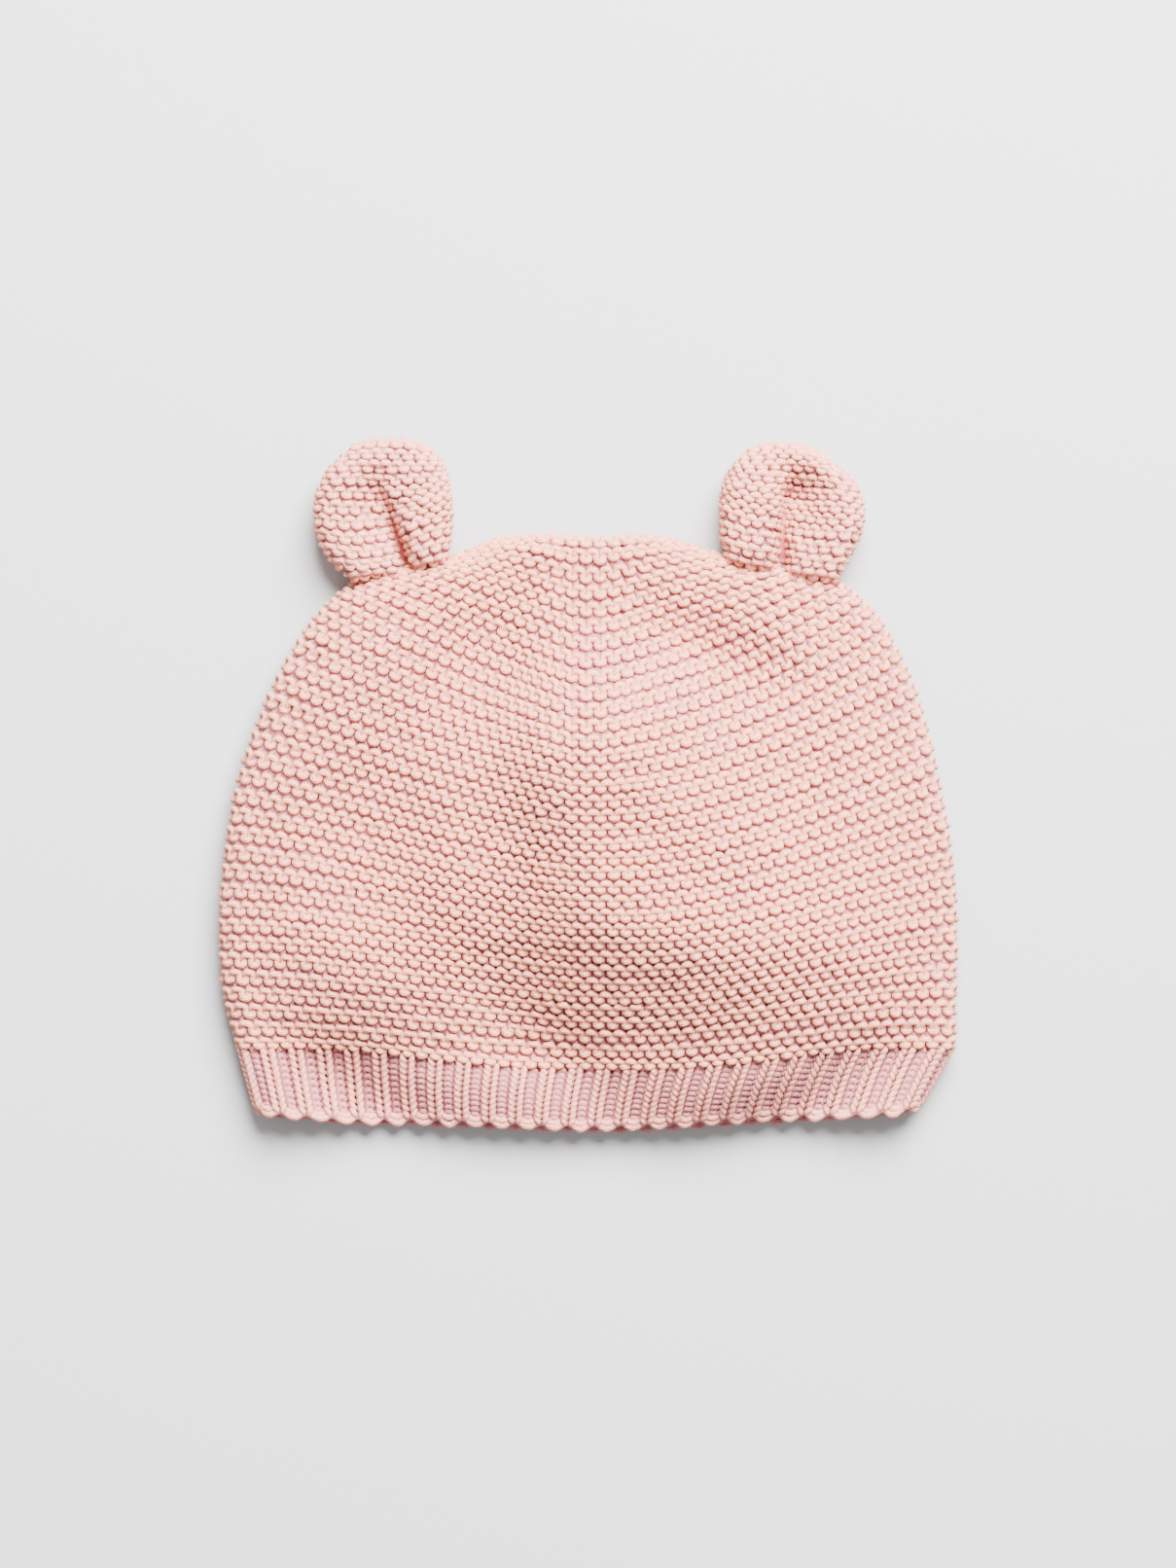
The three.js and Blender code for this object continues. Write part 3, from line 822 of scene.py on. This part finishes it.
@dataclass
class Rib:
    """One by one rib: raised knit columns, whose loops show as small Vs, between sunk purl columns.

    Attributes:
        pitch: width of a knit and a purl column together.
        knit_share: the knit column's share of that.
        radius: yarn radius.
        relief: how far the purl columns are sunk.
        rounds: rounds in the height of the band, the lowest of which is the cast-on edge.
        lean, purl_lean: how far the legs of a knit and of a purl loop lean apart, as a share of their column.
        knit_rise, purl_rise: how far such loops rise, in rounds.
        foot: how far below the middle of their round they start, in rounds.
        knit_bulge, purl_bulge: how far they stand out over their ends.
        knit_sink, purl_sink: how far those ends lie below the middle of the cloth and below the relief.
        knit_levels, purl_levels: the level of a loop's ends, and how much more its highest points have, which
        set their painted shade.
        unevenness: how far a hand-laid loop strays up or down, in rounds.
        strands: for each strand of the cast-on edge, how far up it is and how deep its scallops hang, in
            rounds, and how far out of the cloth it lies.
        edge_bulge, edge_swell: how much further out and how much thicker it is where it hangs lowest.
        edge_levels: its levels, as for a loop, which set its painted shade.
        edge_unevenness: how unevenly its scallops hang, as a share of their depth.
        edge_steps: points along each scallop.
        front_steps, back_steps: points across each column on the seen and on the lying side.
        sides: faces round the yarn.
    """

    pitch: float = 6.75
    knit_share: float = 0.6
    radius: float = 0.78
    relief: float = 1.1
    rounds: int = 11
    lean: float = 0.2
    purl_lean: float = 0.05
    knit_rise: float = 1.7
    purl_rise: float = 1.25
    foot: float = 0.85
    knit_bulge: float = 1.3
    purl_bulge: float = 1.1
    knit_sink: float = 0.8
    purl_sink: float = 0.7
    knit_levels: tuple = (0.4, 0.6)
    purl_levels: tuple = (0.15, 0.45)
    unevenness: float = 0.04
    strands: tuple = ((0.95, 0.85, -0.6), (1.5, 0.6, -0.9))
    edge_bulge: float = 0.6
    edge_swell: float = 0.25
    edge_levels: tuple = (0.5, 0.4)
    edge_unevenness: float = 0.12
    edge_steps: int = 12
    front_steps: int = 11
    back_steps: int = 6
    sides: int = 6

    def knit(self, parts: MeshParts, cloth: Cloth, place: float, pairs: int,
             rng: np.random.Generator) -> None:
        """Adds the yarn of one round to a mesh.

        Args:
            parts: the mesh that takes it.
            cloth: the cloth.
            place: where the round is, counted in rounds up the cloth.
            pairs: how many pairs of columns go round the hat.
            rng: the seeded source of unevenness.
        """
        lengths = cloth.line(place)[1]
        total, fold = lengths[-1], lengths[len(lengths) // 2]
        ends = (np.arange(pairs)[:, None] + np.array([self.knit_share, 1.0])) / pairs * total
        marks = np.concatenate([[0.0], ends.ravel()])
        widths = np.diff(marks)
        steps = np.where(marks[:-1] < fold, self.front_steps, self.back_steps)
        column = np.repeat(np.arange(2 * pairs), steps)
        turn = 2 * math.pi * np.concatenate([np.arange(n) / n for n in steps])
        raised = column % 2 == 0
        lean = np.where(raised, self.lean, self.purl_lean) * widths[column] * np.sin(2 * turn)
        distance = marks[column] + widths[column] * turn / (2 * math.pi) + lean
        head = 0.5 - 0.5 * np.cos(turn)
        along = np.where(raised, self.knit_rise * head - self.foot, self.purl_rise * head - self.foot)
        along = along + rng.normal(0.0, self.unevenness, 2 * pairs)[column]
        middle, outward = cloth.read(place + along, np.interp(distance, lengths, np.arange(len(lengths))))
        legs = 0.5 - 0.5 * np.cos(2 * turn)
        depth = np.where(raised, self.knit_bulge * legs - self.knit_sink,
                         self.purl_bulge * head - self.relief - self.purl_sink)
        level = np.where(raised, self.knit_levels[0] + self.knit_levels[1] * legs,
                         self.purl_levels[0] + self.purl_levels[1] * head)
        add_yarn(parts, middle + outward * depth[:, None], outward, np.full(len(depth), self.radius), level,
                 self.sides)

    def cast_on(self, parts: MeshParts, cloth: Cloth, pairs: int, rng: np.random.Generator) -> None:
        """Adds the two strands of the cast-on edge, which hang down in a small scallop at each sunk column.

        Args:
            parts: the mesh that takes them.
            cloth: the cloth.
            pairs: how many pairs of columns go round the hat.
            rng: the seeded source of unevenness.
        """
        steps = self.edge_steps
        share = np.arange(pairs * steps) / (pairs * steps)
        turn = 2 * math.pi * (share * pairs - 0.5 * (1 + self.knit_share))
        hang = 0.5 + 0.5 * np.cos(turn)
        lengths = cloth.line(0.5)[1]
        column = np.interp(share * lengths[-1], lengths, np.arange(len(lengths)))
        for up, drop, out in self.strands:
            uneven = np.repeat(1 + rng.normal(0.0, self.edge_unevenness, pairs), steps)
            middle, outward = cloth.read(up - drop * hang * uneven, column)
            path = middle + outward * (out + self.edge_bulge * hang)[:, None]
            radius = self.radius * (1 + self.edge_swell * hang)
            level = self.edge_levels[0] + self.edge_levels[1] * hang
            add_yarn(parts, path, outward, radius, level, self.sides)


def linear(hex_colour: str) -> tuple[float, float, float, float]:
    """Turns an sRGB colour such as "#f0d0c8" into the linear colour that a shader takes."""
    values = [int(hex_colour[k:k + 2], 16) / 255 for k in (1, 3, 5)]
    return (*(v / 12.92 if v <= 0.04045 else ((v + 0.055) / 1.055) ** 2.4 for v in values), 1.0)


def add_node(tree: bpy.types.NodeTree, kind: str, inputs: dict | None = None,
             **settings: object) -> bpy.types.Node:
    """Adds a node to a tree.

    Args:
        tree: the tree.
        kind: the node's type.
        inputs: for each input's name or number, a value or an output socket to link to it.
        settings: other settings of the node.

    Returns:
        The node.
    """
    node = tree.nodes.new(kind)
    for name, value in settings.items():
        setattr(node, name, value)
    for key, value in (inputs or {}).items():
        if isinstance(value, bpy.types.NodeSocket):
            tree.links.new(value, node.inputs[key])
        else:
            node.inputs[key].default_value = value
    return node


def calculate(tree: bpy.types.NodeTree, operation: str, *values: object) -> bpy.types.NodeSocket:
    """Adds a calculation such as "MULTIPLY" to a tree and returns its result."""
    return add_node(tree, "ShaderNodeMath", dict(enumerate(values)), operation=operation).outputs[0]


def stretch(tree: bpy.types.NodeTree, value: bpy.types.NodeSocket, source: tuple[float, float],
            target: tuple[float, float] = (0.0, 1.0), **settings: object) -> bpy.types.NodeSocket:
    """Maps one range of a value onto another.

    Args:
        tree: the tree.
        value: the value.
        source: the range that it is read in.
        target: the range that this becomes.
        settings: other settings of the node.

    Returns:
        The mapped value.
    """
    ranges = {1: source[0], 2: source[1], 3: target[0], 4: target[1]}
    return add_node(tree, "ShaderNodeMapRange", {0: value, **ranges}, **settings).outputs[0]


def blank_material(name: str) -> tuple[bpy.types.Material, bpy.types.NodeTree]:
    """Makes a material with an empty node tree.

    Args:
        name: its name.

    Returns:
        The material and its tree.
    """
    material = bpy.data.materials.new(name)
    material.use_nodes = True
    material.node_tree.nodes.clear()
    return material, material.node_tree


@dataclass(frozen=True)
class CottonYarn:
    """Soft plied cotton yarn: matt and slightly fuzzy, with painted shade in its colour: a deeper pink where
    it faces into the cloth, where its loops lie deep in the cloth and in the grooves between its plies.

    Attributes:
        name: the material's name.
        outer: sRGB colour of the fibres that face out of the cloth, where no shade is painted.
        inner: sRGB colour of the painted shade: of the fibres that face into the cloth, of loops deep in it
            and of the grooves between the plies.
        groove: how much of the outer colour is left in the grooves between the plies, under their painted
            shade.
        wander: how far a ply strays to either side, as a share of its width.
        plies: strands twisted together.
        lay: length of one turn of the twist, in millimetres.
        fibres: how finely the fibres are drawn, as the number of noise cells to a metre.
        shadow: where in the wave between two plies its groove ends, from -1 at the bottom to 1.
        outward: how far round from the outer side the yarn keeps its outer colour before the painted shade of
            its
        inward side, in the same way.
        open_levels: the levels between which a loop comes out of the cloth and its painted shade fades out.
        fibre_range, mottling: the range of the fibres' noise that counts, and what it makes of the colour.
        fuzz: how high the fibres stand beside a ply.
        bump, bump_height: strength of the relief, and its height in metres.
    """

    name: str
    outer: str = "#ffab7e"
    inner: str = "#b9777a"
    groove: float = 0.12
    wander: float = 0.3
    plies: float = 9.0
    lay: float = 16.0
    fibres: float = 1900.0
    shadow: float = 0.4
    outward: float = -0.4
    open_levels: tuple = (0.4, 1.0)
    fibre_range: tuple = (0.3, 0.7)
    mottling: tuple = (0.64, 1.2)
    fuzz: float = 0.5
    bump: float = 0.8
    bump_height: float = 0.00016

    def build(self) -> bpy.types.Material:
        """Makes the material.

        Returns:
            The material.
        """
        material, tree = blank_material(self.name)
        place = add_node(tree, "ShaderNodeUVMap", uv_map="yarn")
        parts = add_node(tree, "ShaderNodeSeparateXYZ", {0: place.outputs["UV"]})
        along, around = parts.outputs[0], parts.outputs[1]
        turns = calculate(tree, "MULTIPLY_ADD", along, 1 / self.lay, around)
        where = add_node(tree, "ShaderNodeTexCoord")
        # Cotton fibres are about 0.02 mm thick, drawn coarser so that they show as a soft mottling.
        noise = add_node(tree, "ShaderNodeTexNoise", {"Vector": where.outputs["Object"], "Scale": self.fibres,
                                                      "Detail": 2.0, "Roughness": 0.7})
        fibre = noise.outputs["Fac"]
        turns = calculate(tree, "MULTIPLY_ADD", fibre, 2 * self.wander / self.plies, turns)
        phase = calculate(tree, "MULTIPLY", turns, 2 * math.pi * self.plies)
        rounded = stretch(tree, calculate(tree, "COSINE", phase), (-1.0, self.shadow))
        facing = calculate(tree, "SINE", calculate(tree, "MULTIPLY", around, 2 * math.pi))
        outwards = stretch(tree, facing, (self.outward, 1.0))
        strand = stretch(tree, rounded, (0.0, 1.0), (self.groove, 1.0))
        level = add_node(tree, "ShaderNodeAttribute", attribute_name="level")
        raised = stretch(tree, level.outputs["Fac"], self.open_levels, interpolation_type="SMOOTHSTEP")
        # Painted shade: the share of the outer colour falls towards the inner one where the yarn faces into
        # the cloth, in the grooves between its plies and on loops that lie deep in the cloth.
        pale = calculate(tree, "MULTIPLY", calculate(tree, "MULTIPLY", outwards, strand), raised)
        mix = add_node(tree, "ShaderNodeMix", {0: pale, 6: linear(self.inner), 7: linear(self.outer)},
                       data_type="RGBA")
        mottle = stretch(tree, fibre, self.fibre_range, self.mottling)
        colour = add_node(tree, "ShaderNodeVectorMath", {0: mix.outputs[2], "Scale": mottle},
                          operation="SCALE")
        height = calculate(tree, "MULTIPLY_ADD", fibre, self.fuzz, rounded)
        bump = add_node(tree, "ShaderNodeBump", {"Strength": self.bump, "Distance": self.bump_height,
                                                 "Height": height})
        shader = add_node(tree, "ShaderNodeBsdfPrincipled", {
            "Base Color": colour.outputs[0], "Roughness": 0.9, "Specular IOR Level": 0.1,
            "Normal": bump.outputs[0],
        })
        add_node(tree, "ShaderNodeOutputMaterial", {"Surface": shader.outputs[0]})
        return material


def matt_material(name: str, colour: str) -> bpy.types.Material:
    """Makes a plain material without any shine.

    Args:
        name: its name.
        colour: its sRGB colour.

    Returns:
        The material.
    """
    material, tree = blank_material(name)
    shader = add_node(tree, "ShaderNodeBsdfPrincipled", {
        "Base Color": linear(colour), "Roughness": 1.0, "Specular IOR Level": 0.0,
    })
    add_node(tree, "ShaderNodeOutputMaterial", {"Surface": shader.outputs[0]})
    return material


@dataclass(frozen=True)
class PaintedShadeBacking:
    """The inside of the knitting, as a sheet painted the deep pink of the shade that shows between the loops.
    """

    name: str = "painted_shade_backing"
    colour: str = "#a85c58"

    def build(self) -> bpy.types.Material:
        """Makes the material."""
        return matt_material(self.name, self.colour)


@dataclass(frozen=True)
class Paper:
    """The plain pale surface that the hat lies on: an even, soft grey with no shine."""

    name: str = "pale_paper"
    colour: str = "#acacac"

    def build(self) -> bpy.types.Material:
        """Makes the material."""
        return matt_material(self.name, self.colour)


def grid_faces(rings: int, columns: int, start: int, inward: bool) -> np.ndarray:
    """Finds the four-sided faces of a tube of rings of points.

    Args:
        rings: how many rings.
        columns: points in each.
        start: number of the first point.
        inward: whether the faces look into the tube.

    Returns:
        The faces, as rows of four point numbers.
    """
    ring = np.arange(rings - 1)[:, None] * columns
    here = np.arange(columns)[None, :]
    there = (here + 1) % columns
    faces = np.stack([ring + here, ring + there, ring + columns + there, ring + columns + here], -1)
    faces = faces.reshape(-1, 4) + start
    return faces[:, ::-1] if inward else faces


def shell(parts: MeshParts, outer: np.ndarray, inner: np.ndarray) -> None:
    """Adds a closed shell between two skins of the same grid, joined round both ends.

    Args:
        parts: the mesh that takes it.
        outer: rings of the outer skin.
        inner: rings of the inner skin, whose last ring is as closed as the outer one's.
    """
    rings, columns = outer.shape[:2]
    size = rings * columns
    here = np.arange(columns)
    there = (here + 1) % columns
    rim = np.stack([size + here, size + there, there, here], -1)
    last = (rings - 1) * columns
    end = np.stack([last + here, last + there, size + last + there, size + last + here], -1)
    faces = np.concatenate([grid_faces(rings, columns, 0, False), grid_faces(rings, columns, size, True),
                            rim, end])
    points = np.concatenate([outer.reshape(-1, 3), inner.reshape(-1, 3)])
    parts.add(points, faces, np.zeros((faces.size, 2)), np.zeros(len(points)))


@dataclass
class Wearable:
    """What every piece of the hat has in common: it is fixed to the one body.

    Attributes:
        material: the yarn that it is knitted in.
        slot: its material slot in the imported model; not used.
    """

    material: bpy.types.Material
    slot: str

    def settle(self, obj: bpy.types.Object, node: str) -> bpy.types.Object:
        """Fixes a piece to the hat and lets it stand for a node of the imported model.

        Args:
            obj: the piece.
            node: the node.

        Returns:
            The piece.
        """
        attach(obj, "root")
        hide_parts(node)
        LOG.info("%s: %d faces", obj.name, len(obj.data.polygons))
        return obj


@dataclass
class CrownKnit(Wearable):
    """The crown: rounds of garter stitch up a pouch, with a backing painted the deep pink of the shade
    between its loops.

    Attributes:
        pouch, garter, backing: its shape, its stitch and the material behind it, a painted shade.
        ridges: ridges from the band to the closing.
        parts: how many pieces they are shared out to.
        wall: thickness of the knitting.
        column: width of the column of straight stitches, and how far right of the middle it is.
        backing_rings, backing_columns: the backing's grid.
        backing_gap, backing_wall: how far behind the middle of the wall it lies, and how thick it is.
    """

    pouch: Crown
    garter: Garter
    backing: bpy.types.Material
    ridges: int = 36
    parts: int = 5
    wall: float = 3.6
    column: tuple = (10.5, 1.2)
    backing_rings: int = 37
    backing_columns: int = 96
    backing_gap: float = 0.2
    backing_wall: float = 0.5

    def build(self, rng: np.random.Generator) -> list[bpy.types.Object]:
        """Knits the crown.

        Args:
            rng: the seeded source of unevenness.

        Returns:
            Its pieces.
        """
        cloth = Cloth.of(self.pouch, 0.0, 1.0, self.ridges, self.wall / 2)
        made = []
        bounds = np.round(np.linspace(0, self.ridges, self.parts + 1)).astype(int)
        for part, (first, end) in enumerate(zip(bounds[:-1], bounds[1:]), 1):
            parts = MeshParts()
            for ridge in range(first, end):
                self.garter.ridge(parts, cloth, ridge + 0.5, self.column, rng)
            if end == self.ridges:
                self.garter.close(parts, cloth, end, self.column, rng)
            made.append(self.settle(parts.build(f"crown_rounds_{part}", self.material), "crown"))
        parts = MeshParts()
        skin = self.pouch.skin(np.linspace(0.0, 1.0, self.backing_rings), self.backing_columns)
        outward = outward_of(skin)
        outward[-1] = outward[-1] + folded_over(outward[-1:])[0]
        outward[-1] /= np.linalg.norm(outward[-1], axis=1, keepdims=True)
        depth = self.wall / 2 + self.backing_gap
        shell(parts, skin - outward * depth, skin - outward * (depth + self.backing_wall))
        made.append(self.settle(parts.build("crown_inner_loops", self.backing), "crown"))
        return made


@dataclass
class BandKnit(Wearable):
    """The ribbed band below the crown, with its cast-on edge.

    Attributes:
        pouch, rib, backing: its shape, its stitch and the material behind it, a painted shade.
        wall: thickness of the knitting.
        lift: how far outside the middle of the wall the yarn lies.
        backing_start: where the backing starts, up the pouch.
        backing_rings, backing_columns: the backing's grid.
        backing_gap, backing_wall: how far behind the middle of the wall it lies, and how thick it is.
    """

    pouch: Crown
    rib: Rib
    backing: bpy.types.Material
    wall: float = 2.8
    lift: float = 0.1
    backing_start: float = -0.93
    backing_rings: int = 5
    backing_columns: int = 192
    backing_gap: float = 0.9
    backing_wall: float = 0.5

    def build(self, rng: np.random.Generator) -> list[bpy.types.Object]:
        """Knits the band.

        Args:
            rng: the seeded source of unevenness.

        Returns:
            Its pieces.
        """
        cloth = Cloth.of(self.pouch, -1.0, 0.0, self.rib.rounds, self.wall / 2 - self.lift)
        pairs = round(cloth.line(0.5)[1][-1] / self.rib.pitch)
        parts = MeshParts()
        self.rib.cast_on(parts, cloth, pairs, rng)
        for row in range(1, self.rib.rounds):
            self.rib.knit(parts, cloth, row + 0.5, pairs, rng)
        made = [self.settle(parts.build("rib_rounds", self.material), "rib_band")]
        parts = MeshParts()
        up = np.linspace(self.backing_start, 0.0, self.backing_rings)
        skin = self.pouch.skin(up, self.backing_columns)
        outward = outward_of(skin)
        depth = self.wall / 2 + self.backing_gap
        shell(parts, skin - outward * depth, skin - outward * (depth + self.backing_wall))
        made.append(self.settle(parts.build("rib_inner_loops", self.backing), "rib_band"))
        return made


@dataclass
class EarKnit(Wearable):
    """A padded ear: rounds of garter stitch up a small pouch round a solid padding painted the deep pink of
    shade.

    Attributes:
        name: its name, and its node's.
        pouch, garter, backing: its shape, its stitch and the padding's material, a painted shade.
        ridges: ridges from the sewn base to the closing.
        wall: thickness of the knitting.
        cloth_columns, padding_columns: points round the cloth and round the padding.
        padding_gap: how far behind the middle of the wall the padding lies.
    """

    name: str
    pouch: EarPouch
    garter: Garter
    backing: bpy.types.Material
    ridges: int = 11
    wall: float = 3.2
    cloth_columns: int = 360
    padding_columns: int = 64
    padding_gap: float = 0.2

    def build(self, rng: np.random.Generator) -> list[bpy.types.Object]:
        """Knits the ear.

        Args:
            rng: the seeded source of unevenness.

        Returns:
            Its pieces.
        """
        cloth = Cloth.of(self.pouch, 0.0, 1.0, self.ridges, self.wall / 2, self.cloth_columns, lead=0)
        no_column = (0.0, 0.0)
        parts = MeshParts()
        for ridge in range(self.ridges):
            self.garter.ridge(parts, cloth, ridge + 0.5, no_column, rng)
        self.garter.close(parts, cloth, self.ridges, no_column, rng)
        made = [self.settle(parts.build(f"{self.name}_rounds", self.material), self.name)]
        parts = MeshParts()
        skin = self.pouch.skin(np.linspace(0.0, 1.0, 2 * self.ridges + 1), self.padding_columns)
        outer = skin - outward_of(skin) * (self.wall / 2 + self.padding_gap)
        columns = outer.shape[1]
        base = np.broadcast_to(outer[0].mean(0), (1, columns, 3))
        closed = np.concatenate([base, outer])
        faces = grid_faces(len(closed), columns, 0, False)
        parts.add(closed.reshape(-1, 3), faces, np.zeros((faces.size, 2)), np.zeros(closed.size // 3))
        made.append(self.settle(parts.build(f"{self.name}_padding", self.backing), self.name))
        return made


@dataclass
class Studio:
    """A pale floor, a large soft light from above and to the right, and the light of a bright room.

    Attributes:
        floor_size: the floor's width and depth, in metres.
        key_power, key_size: the large light's power in watts and its width in metres.
        key_place: where it is, in metres; it looks at the hat.
        room_light: strength of the room's light.
    """

    floor_size: float = 6.0
    key_power: float = 262.0
    key_size: float = 1.2
    key_place: tuple = (0.34, 0.98, 1.12)
    room_light: float = 0.9

    def build(self) -> None:
        """Makes the floor and the lights."""
        half = self.floor_size / 2
        mesh = bpy.data.meshes.new("floor")
        corners = [(-half, -half, 0), (half, -half, 0), (half, half, 0), (-half, half, 0)]
        mesh.from_pydata(corners, [], [(0, 1, 2, 3)])
        mesh.materials.append(Paper().build())
        floor = bpy.data.objects.new("floor", mesh)
        bpy.context.scene.collection.objects.link(floor)
        light = bpy.data.lights.new("key", "AREA")
        light.energy = self.key_power
        light.shape = "DISK"
        light.size = self.key_size
        lamp = bpy.data.objects.new("key", light)
        lamp.location = self.key_place
        lamp.rotation_euler = (-Vector(self.key_place)).to_track_quat("-Z", "Y").to_euler()
        bpy.context.scene.collection.objects.link(lamp)
        world = bpy.data.worlds.new("room")
        world.use_nodes = True
        back = world.node_tree.nodes["Background"]
        back.inputs["Color"].default_value = (1.0, 1.0, 1.0, 1.0)
        back.inputs["Strength"].default_value = self.room_light
        bpy.context.scene.world = world


@dataclass
class Camera:
    """A camera that looks straight down at the hat.

    Attributes:
        height: how high above the floor it is, in metres.
        frame: the longer side of what it sees of the floor, in metres.
        sensor: its sensor's longer side, in millimetres.
        shift: how far it stands from the middle, up the hat, in metres.
        reach: how far it sees, in metres.
    """

    height: float = 1.6
    frame: float = 0.403
    sensor: float = 36.0
    shift: float = -0.0001
    reach: float = 20.0

    def build(self) -> None:
        """Makes the scene's camera."""
        data = bpy.data.cameras.new("camera")
        data.sensor_width = self.sensor
        data.lens = self.sensor * self.height / self.frame
        data.clip_end = self.reach
        camera = bpy.data.objects.new("camera", data)
        camera.location = (0.0, self.shift, self.height)
        bpy.context.scene.collection.objects.link(camera)
        bpy.context.scene.camera = camera


def main() -> None:
    """Builds the hat and its surroundings."""
    logging.basicConfig(level=logging.INFO, format="%(message)s")
    rng = np.random.default_rng(SEED)
    body = Crown()
    # A sheet of painted shade behind the knitting, also used for the ears' padding.
    painted_shade_backing = PaintedShadeBacking().build()
    CrownKnit(CottonYarn("garter_cotton").build(), "garter_knit", body, Garter(), painted_shade_backing).build(rng)
    # Painted shade: the band's yarn is the crown's with a darker outer colour, for the shade among its ribs.
    shaded_rib_yarn = CottonYarn("shaded_rib_cotton", outer="#f3a285").build()
    BandKnit(shaded_rib_yarn, "rib_knit", body, Rib(), painted_shade_backing).build(rng)
    ear_yarn = CottonYarn("ear_cotton", outer="#fcaa89").build()
    ear_garter = Garter(stitch=3.2, unevenness=0.19)
    left_crease = Crease((-52.4, 74.0), (-45.6, 53.0), 1.0, cup_share=0.45, gentle=5.6)
    right_crease = Crease((50.6, 74.0), (49.4, 53.5), -1.0, depth=13.0, cup_share=0.75, gentle=6.5)
    for name, rows, crease in (("ear_left", LEFT_EAR_ROWS, left_crease),
                               ("ear_right", RIGHT_EAR_ROWS, right_crease)):
        pouch = EarPouch(fold_radius=7.5, rows=rows, crease=crease)
        EarKnit(ear_yarn, "ear_knit", name, pouch, ear_garter, painted_shade_backing).build(rng)
    Studio().build()
    Camera().build()


if __name__ == "__main__":
    main()
